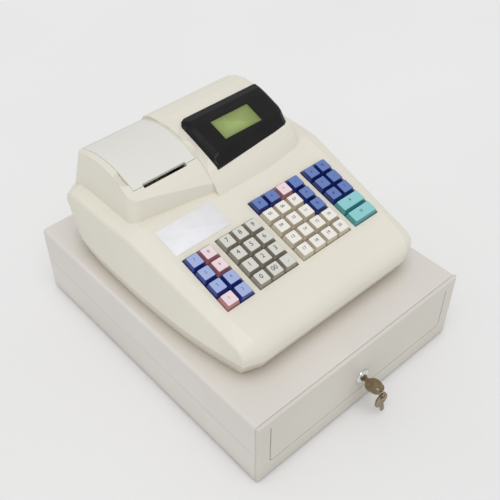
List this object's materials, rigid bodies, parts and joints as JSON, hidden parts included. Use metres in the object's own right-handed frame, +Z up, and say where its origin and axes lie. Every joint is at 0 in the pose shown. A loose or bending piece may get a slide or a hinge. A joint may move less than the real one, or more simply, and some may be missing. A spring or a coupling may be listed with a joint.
{
  "type": "electronic cash register",
  "caption": "Electronic cash register on a steel cash drawer, with a sloping keyboard, a printer under a hinged lid, a display under a dark visor, and a key lock with a spare key.",
  "frame": {"origin": "on the table, under the middle of the whole object's box, keys on the lock included", "axes": "+Z up; -Y towards the cashier, where the drawer opens; +X to the cashier's right"},
  "size_m": [0.33, 0.4472, 0.2549],
  "materials": {
    "steel": "painted, fine texture",
    "front": "moulded, matt",
    "tray": "painted, matt",
    "insert": "moulded, fine texture",
    "chrome": "polished",
    "brass": "nickel-plated, worn to a brown tone",
    "cream": "moulded, fine texture",
    "lid": "moulded, fine texture",
    "visor": "glossy, nearly black",
    "blue": "satin keytop",
    "pink": "satin keytop",
    "grey": "satin keytop",
    "white": "satin keytop",
    "teal": "satin keytop"
  },
  "bodies": {
    "housing": {"drawer_base": "steel", "drawer_cover": "steel", "lower_case": "cream", "upper_case": "cream", "display_visor": "visor"},
    "drawer": {"drawer_tray": "tray", "drawer_front": "front", "cash_insert": "insert", "lock_barrel": "chrome"},
    "lid": {"printer_lid": "lid"},
    "lock": {"lock_key": "brass"},
    "spare": {"spare_key": "brass"},
    "key_dept_0_0": {"key_dept_0_0": "pink"},
    "key_dept_1_0": {"key_dept_1_0": "blue"},
    "key_dept_0_1": {"key_dept_0_1": "blue"},
    "key_dept_1_1": {"key_dept_1_1": "blue"},
    "key_dept_0_2": {"key_dept_0_2": "blue"},
    "key_dept_1_2": {"key_dept_1_2": "pink"},
    "key_dept_0_3": {"key_dept_0_3": "blue"},
    "key_dept_1_3": {"key_dept_1_3": "pink"},
    "key_digit_0_0": {"key_digit_0_0": "grey"},
    "key_digit_1_0": {"key_digit_1_0": "grey"},
    "key_digit_2_0": {"key_digit_2_0": "grey"},
    "key_digit_0_1": {"key_digit_0_1": "grey"},
    "key_digit_1_1": {"key_digit_1_1": "grey"},
    "key_digit_2_1": {"key_digit_2_1": "grey"},
    "key_digit_0_2": {"key_digit_0_2": "grey"},
    "key_digit_1_2": {"key_digit_1_2": "grey"},
    "key_digit_2_2": {"key_digit_2_2": "grey"},
    "key_digit_0_3": {"key_digit_0_3": "grey"},
    "key_digit_1_3": {"key_digit_1_3": "grey"},
    "key_digit_2_3": {"key_digit_2_3": "grey"},
    "key_plu_0_0": {"key_plu_0_0": "white"},
    "key_plu_1_0": {"key_plu_1_0": "white"},
    "key_plu_2_0": {"key_plu_2_0": "white"},
    "key_plu_3_0": {"key_plu_3_0": "white"},
    "key_plu_0_1": {"key_plu_0_1": "white"},
    "key_plu_1_1": {"key_plu_1_1": "white"},
    "key_plu_2_1": {"key_plu_2_1": "white"},
    "key_plu_3_1": {"key_plu_3_1": "white"},
    "key_plu_0_2": {"key_plu_0_2": "white"},
    "key_plu_1_2": {"key_plu_1_2": "white"},
    "key_plu_2_2": {"key_plu_2_2": "white"},
    "key_plu_3_2": {"key_plu_3_2": "blue"},
    "key_plu_0_3": {"key_plu_0_3": "white"},
    "key_plu_1_3": {"key_plu_1_3": "white"},
    "key_plu_2_3": {"key_plu_2_3": "white"},
    "key_plu_3_3": {"key_plu_3_3": "blue"},
    "key_plu_0_4": {"key_plu_0_4": "blue"},
    "key_plu_1_4": {"key_plu_1_4": "blue"},
    "key_plu_2_4": {"key_plu_2_4": "pink"},
    "key_plu_3_4": {"key_plu_3_4": "blue"},
    "key_func_wide_0": {"key_func_wide_0": "teal"},
    "key_func_wide_1": {"key_func_wide_1": "teal"},
    "key_func_0_2": {"key_func_0_2": "blue"},
    "key_func_1_2": {"key_func_1_2": "blue"},
    "key_func_0_3": {"key_func_0_3": "blue"},
    "key_func_1_3": {"key_func_1_3": "blue"},
    "key_func_0_4": {"key_func_0_4": "blue"},
    "key_func_1_4": {"key_func_1_4": "blue"}
  },
  "joints": [
    {"name": "drawer_slide", "type": "slide", "parent": "housing", "child": "drawer", "axis": [0, -1, 0], "range_m": [0, 0.3]},
    {"name": "lid_hinge", "type": "hinge", "parent": "housing", "child": "lid", "pos_m": [-0.07325, 0.16764, 0.24006], "axis": [-1, 0, 0], "range_deg": [0, 75]},
    {"name": "lock_turn", "type": "hinge", "parent": "drawer", "child": "lock", "pos_m": [0, -0.18736, 0.051], "axis": [0, 1, 0], "range_deg": [0, 90]},
    {"name": "spare_key_swing", "type": "hinge", "parent": "lock", "child": "spare", "pos_m": [0, -0.21286, 0.051], "axis": [0, 1, 0], "range_deg": [-30, 30]},
    {"name": "key_dept_0_0_press", "type": "slide", "parent": "housing", "child": "key_dept_0_0", "axis": [0, 0.2533, -0.9674], "range_m": [0, 0.0032], "stiffness_N_per_m": 100, "springref_m": -0.005},
    {"name": "key_dept_1_0_press", "type": "slide", "parent": "housing", "child": "key_dept_1_0", "axis": [0, 0.2533, -0.9674], "range_m": [0, 0.0032], "stiffness_N_per_m": 100, "springref_m": -0.005},
    {"name": "key_dept_0_1_press", "type": "slide", "parent": "housing", "child": "key_dept_0_1", "axis": [0, 0.2533, -0.9674], "range_m": [0, 0.0032], "stiffness_N_per_m": 100, "springref_m": -0.005},
    {"name": "key_dept_1_1_press", "type": "slide", "parent": "housing", "child": "key_dept_1_1", "axis": [0, 0.2533, -0.9674], "range_m": [0, 0.0032], "stiffness_N_per_m": 100, "springref_m": -0.005},
    {"name": "key_dept_0_2_press", "type": "slide", "parent": "housing", "child": "key_dept_0_2", "axis": [0, 0.2533, -0.9674], "range_m": [0, 0.0032], "stiffness_N_per_m": 100, "springref_m": -0.005},
    {"name": "key_dept_1_2_press", "type": "slide", "parent": "housing", "child": "key_dept_1_2", "axis": [0, 0.2533, -0.9674], "range_m": [0, 0.0032], "stiffness_N_per_m": 100, "springref_m": -0.005},
    {"name": "key_dept_0_3_press", "type": "slide", "parent": "housing", "child": "key_dept_0_3", "axis": [0, 0.2533, -0.9674], "range_m": [0, 0.0032], "stiffness_N_per_m": 100, "springref_m": -0.005},
    {"name": "key_dept_1_3_press", "type": "slide", "parent": "housing", "child": "key_dept_1_3", "axis": [0, 0.2533, -0.9674], "range_m": [0, 0.0032], "stiffness_N_per_m": 100, "springref_m": -0.005},
    {"name": "key_digit_0_0_press", "type": "slide", "parent": "housing", "child": "key_digit_0_0", "axis": [0, 0.2533, -0.9674], "range_m": [0, 0.0032], "stiffness_N_per_m": 100, "springref_m": -0.005},
    {"name": "key_digit_1_0_press", "type": "slide", "parent": "housing", "child": "key_digit_1_0", "axis": [0, 0.2533, -0.9674], "range_m": [0, 0.0032], "stiffness_N_per_m": 100, "springref_m": -0.005},
    {"name": "key_digit_2_0_press", "type": "slide", "parent": "housing", "child": "key_digit_2_0", "axis": [0, 0.2533, -0.9674], "range_m": [0, 0.0032], "stiffness_N_per_m": 100, "springref_m": -0.005},
    {"name": "key_digit_0_1_press", "type": "slide", "parent": "housing", "child": "key_digit_0_1", "axis": [0, 0.2533, -0.9674], "range_m": [0, 0.0032], "stiffness_N_per_m": 100, "springref_m": -0.005},
    {"name": "key_digit_1_1_press", "type": "slide", "parent": "housing", "child": "key_digit_1_1", "axis": [0, 0.2533, -0.9674], "range_m": [0, 0.0032], "stiffness_N_per_m": 100, "springref_m": -0.005},
    {"name": "key_digit_2_1_press", "type": "slide", "parent": "housing", "child": "key_digit_2_1", "axis": [0, 0.2533, -0.9674], "range_m": [0, 0.0032], "stiffness_N_per_m": 100, "springref_m": -0.005},
    {"name": "key_digit_0_2_press", "type": "slide", "parent": "housing", "child": "key_digit_0_2", "axis": [0, 0.2533, -0.9674], "range_m": [0, 0.0032], "stiffness_N_per_m": 100, "springref_m": -0.005},
    {"name": "key_digit_1_2_press", "type": "slide", "parent": "housing", "child": "key_digit_1_2", "axis": [0, 0.2533, -0.9674], "range_m": [0, 0.0032], "stiffness_N_per_m": 100, "springref_m": -0.005},
    {"name": "key_digit_2_2_press", "type": "slide", "parent": "housing", "child": "key_digit_2_2", "axis": [0, 0.2533, -0.9674], "range_m": [0, 0.0032], "stiffness_N_per_m": 100, "springref_m": -0.005},
    {"name": "key_digit_0_3_press", "type": "slide", "parent": "housing", "child": "key_digit_0_3", "axis": [0, 0.2533, -0.9674], "range_m": [0, 0.0032], "stiffness_N_per_m": 100, "springref_m": -0.005},
    {"name": "key_digit_1_3_press", "type": "slide", "parent": "housing", "child": "key_digit_1_3", "axis": [0, 0.2533, -0.9674], "range_m": [0, 0.0032], "stiffness_N_per_m": 100, "springref_m": -0.005},
    {"name": "key_digit_2_3_press", "type": "slide", "parent": "housing", "child": "key_digit_2_3", "axis": [0, 0.2533, -0.9674], "range_m": [0, 0.0032], "stiffness_N_per_m": 100, "springref_m": -0.005},
    {"name": "key_plu_0_0_press", "type": "slide", "parent": "housing", "child": "key_plu_0_0", "axis": [0, 0.2533, -0.9674], "range_m": [0, 0.0032], "stiffness_N_per_m": 100, "springref_m": -0.005},
    {"name": "key_plu_1_0_press", "type": "slide", "parent": "housing", "child": "key_plu_1_0", "axis": [0, 0.2533, -0.9674], "range_m": [0, 0.0032], "stiffness_N_per_m": 100, "springref_m": -0.005},
    {"name": "key_plu_2_0_press", "type": "slide", "parent": "housing", "child": "key_plu_2_0", "axis": [0, 0.2533, -0.9674], "range_m": [0, 0.0032], "stiffness_N_per_m": 100, "springref_m": -0.005},
    {"name": "key_plu_3_0_press", "type": "slide", "parent": "housing", "child": "key_plu_3_0", "axis": [0, 0.2533, -0.9674], "range_m": [0, 0.0032], "stiffness_N_per_m": 100, "springref_m": -0.005},
    {"name": "key_plu_0_1_press", "type": "slide", "parent": "housing", "child": "key_plu_0_1", "axis": [0, 0.2533, -0.9674], "range_m": [0, 0.0032], "stiffness_N_per_m": 100, "springref_m": -0.005},
    {"name": "key_plu_1_1_press", "type": "slide", "parent": "housing", "child": "key_plu_1_1", "axis": [0, 0.2533, -0.9674], "range_m": [0, 0.0032], "stiffness_N_per_m": 100, "springref_m": -0.005},
    {"name": "key_plu_2_1_press", "type": "slide", "parent": "housing", "child": "key_plu_2_1", "axis": [0, 0.2533, -0.9674], "range_m": [0, 0.0032], "stiffness_N_per_m": 100, "springref_m": -0.005},
    {"name": "key_plu_3_1_press", "type": "slide", "parent": "housing", "child": "key_plu_3_1", "axis": [0, 0.2533, -0.9674], "range_m": [0, 0.0032], "stiffness_N_per_m": 100, "springref_m": -0.005},
    {"name": "key_plu_0_2_press", "type": "slide", "parent": "housing", "child": "key_plu_0_2", "axis": [0, 0.2533, -0.9674], "range_m": [0, 0.0032], "stiffness_N_per_m": 100, "springref_m": -0.005},
    {"name": "key_plu_1_2_press", "type": "slide", "parent": "housing", "child": "key_plu_1_2", "axis": [0, 0.2533, -0.9674], "range_m": [0, 0.0032], "stiffness_N_per_m": 100, "springref_m": -0.005},
    {"name": "key_plu_2_2_press", "type": "slide", "parent": "housing", "child": "key_plu_2_2", "axis": [0, 0.2533, -0.9674], "range_m": [0, 0.0032], "stiffness_N_per_m": 100, "springref_m": -0.005},
    {"name": "key_plu_3_2_press", "type": "slide", "parent": "housing", "child": "key_plu_3_2", "axis": [0, 0.2533, -0.9674], "range_m": [0, 0.0032], "stiffness_N_per_m": 100, "springref_m": -0.005},
    {"name": "key_plu_0_3_press", "type": "slide", "parent": "housing", "child": "key_plu_0_3", "axis": [0, 0.2533, -0.9674], "range_m": [0, 0.0032], "stiffness_N_per_m": 100, "springref_m": -0.005},
    {"name": "key_plu_1_3_press", "type": "slide", "parent": "housing", "child": "key_plu_1_3", "axis": [0, 0.2533, -0.9674], "range_m": [0, 0.0032], "stiffness_N_per_m": 100, "springref_m": -0.005},
    {"name": "key_plu_2_3_press", "type": "slide", "parent": "housing", "child": "key_plu_2_3", "axis": [0, 0.2533, -0.9674], "range_m": [0, 0.0032], "stiffness_N_per_m": 100, "springref_m": -0.005},
    {"name": "key_plu_3_3_press", "type": "slide", "parent": "housing", "child": "key_plu_3_3", "axis": [0, 0.2533, -0.9674], "range_m": [0, 0.0032], "stiffness_N_per_m": 100, "springref_m": -0.005},
    {"name": "key_plu_0_4_press", "type": "slide", "parent": "housing", "child": "key_plu_0_4", "axis": [0, 0.2533, -0.9674], "range_m": [0, 0.0032], "stiffness_N_per_m": 100, "springref_m": -0.005},
    {"name": "key_plu_1_4_press", "type": "slide", "parent": "housing", "child": "key_plu_1_4", "axis": [0, 0.2533, -0.9674], "range_m": [0, 0.0032], "stiffness_N_per_m": 100, "springref_m": -0.005},
    {"name": "key_plu_2_4_press", "type": "slide", "parent": "housing", "child": "key_plu_2_4", "axis": [0, 0.2533, -0.9674], "range_m": [0, 0.0032], "stiffness_N_per_m": 100, "springref_m": -0.005},
    {"name": "key_plu_3_4_press", "type": "slide", "parent": "housing", "child": "key_plu_3_4", "axis": [0, 0.2533, -0.9674], "range_m": [0, 0.0032], "stiffness_N_per_m": 100, "springref_m": -0.005},
    {"name": "key_func_wide_0_press", "type": "slide", "parent": "housing", "child": "key_func_wide_0", "axis": [0, 0.2533, -0.9674], "range_m": [0, 0.0032], "stiffness_N_per_m": 100, "springref_m": -0.005},
    {"name": "key_func_wide_1_press", "type": "slide", "parent": "housing", "child": "key_func_wide_1", "axis": [0, 0.2533, -0.9674], "range_m": [0, 0.0032], "stiffness_N_per_m": 100, "springref_m": -0.005},
    {"name": "key_func_0_2_press", "type": "slide", "parent": "housing", "child": "key_func_0_2", "axis": [0, 0.2533, -0.9674], "range_m": [0, 0.0032], "stiffness_N_per_m": 100, "springref_m": -0.005},
    {"name": "key_func_1_2_press", "type": "slide", "parent": "housing", "child": "key_func_1_2", "axis": [0, 0.2533, -0.9674], "range_m": [0, 0.0032], "stiffness_N_per_m": 100, "springref_m": -0.005},
    {"name": "key_func_0_3_press", "type": "slide", "parent": "housing", "child": "key_func_0_3", "axis": [0, 0.2533, -0.9674], "range_m": [0, 0.0032], "stiffness_N_per_m": 100, "springref_m": -0.005},
    {"name": "key_func_1_3_press", "type": "slide", "parent": "housing", "child": "key_func_1_3", "axis": [0, 0.2533, -0.9674], "range_m": [0, 0.0032], "stiffness_N_per_m": 100, "springref_m": -0.005},
    {"name": "key_func_0_4_press", "type": "slide", "parent": "housing", "child": "key_func_0_4", "axis": [0, 0.2533, -0.9674], "range_m": [0, 0.0032], "stiffness_N_per_m": 100, "springref_m": -0.005},
    {"name": "key_func_1_4_press", "type": "slide", "parent": "housing", "child": "key_func_1_4", "axis": [0, 0.2533, -0.9674], "range_m": [0, 0.0032], "stiffness_N_per_m": 100, "springref_m": -0.005}
  ]
}
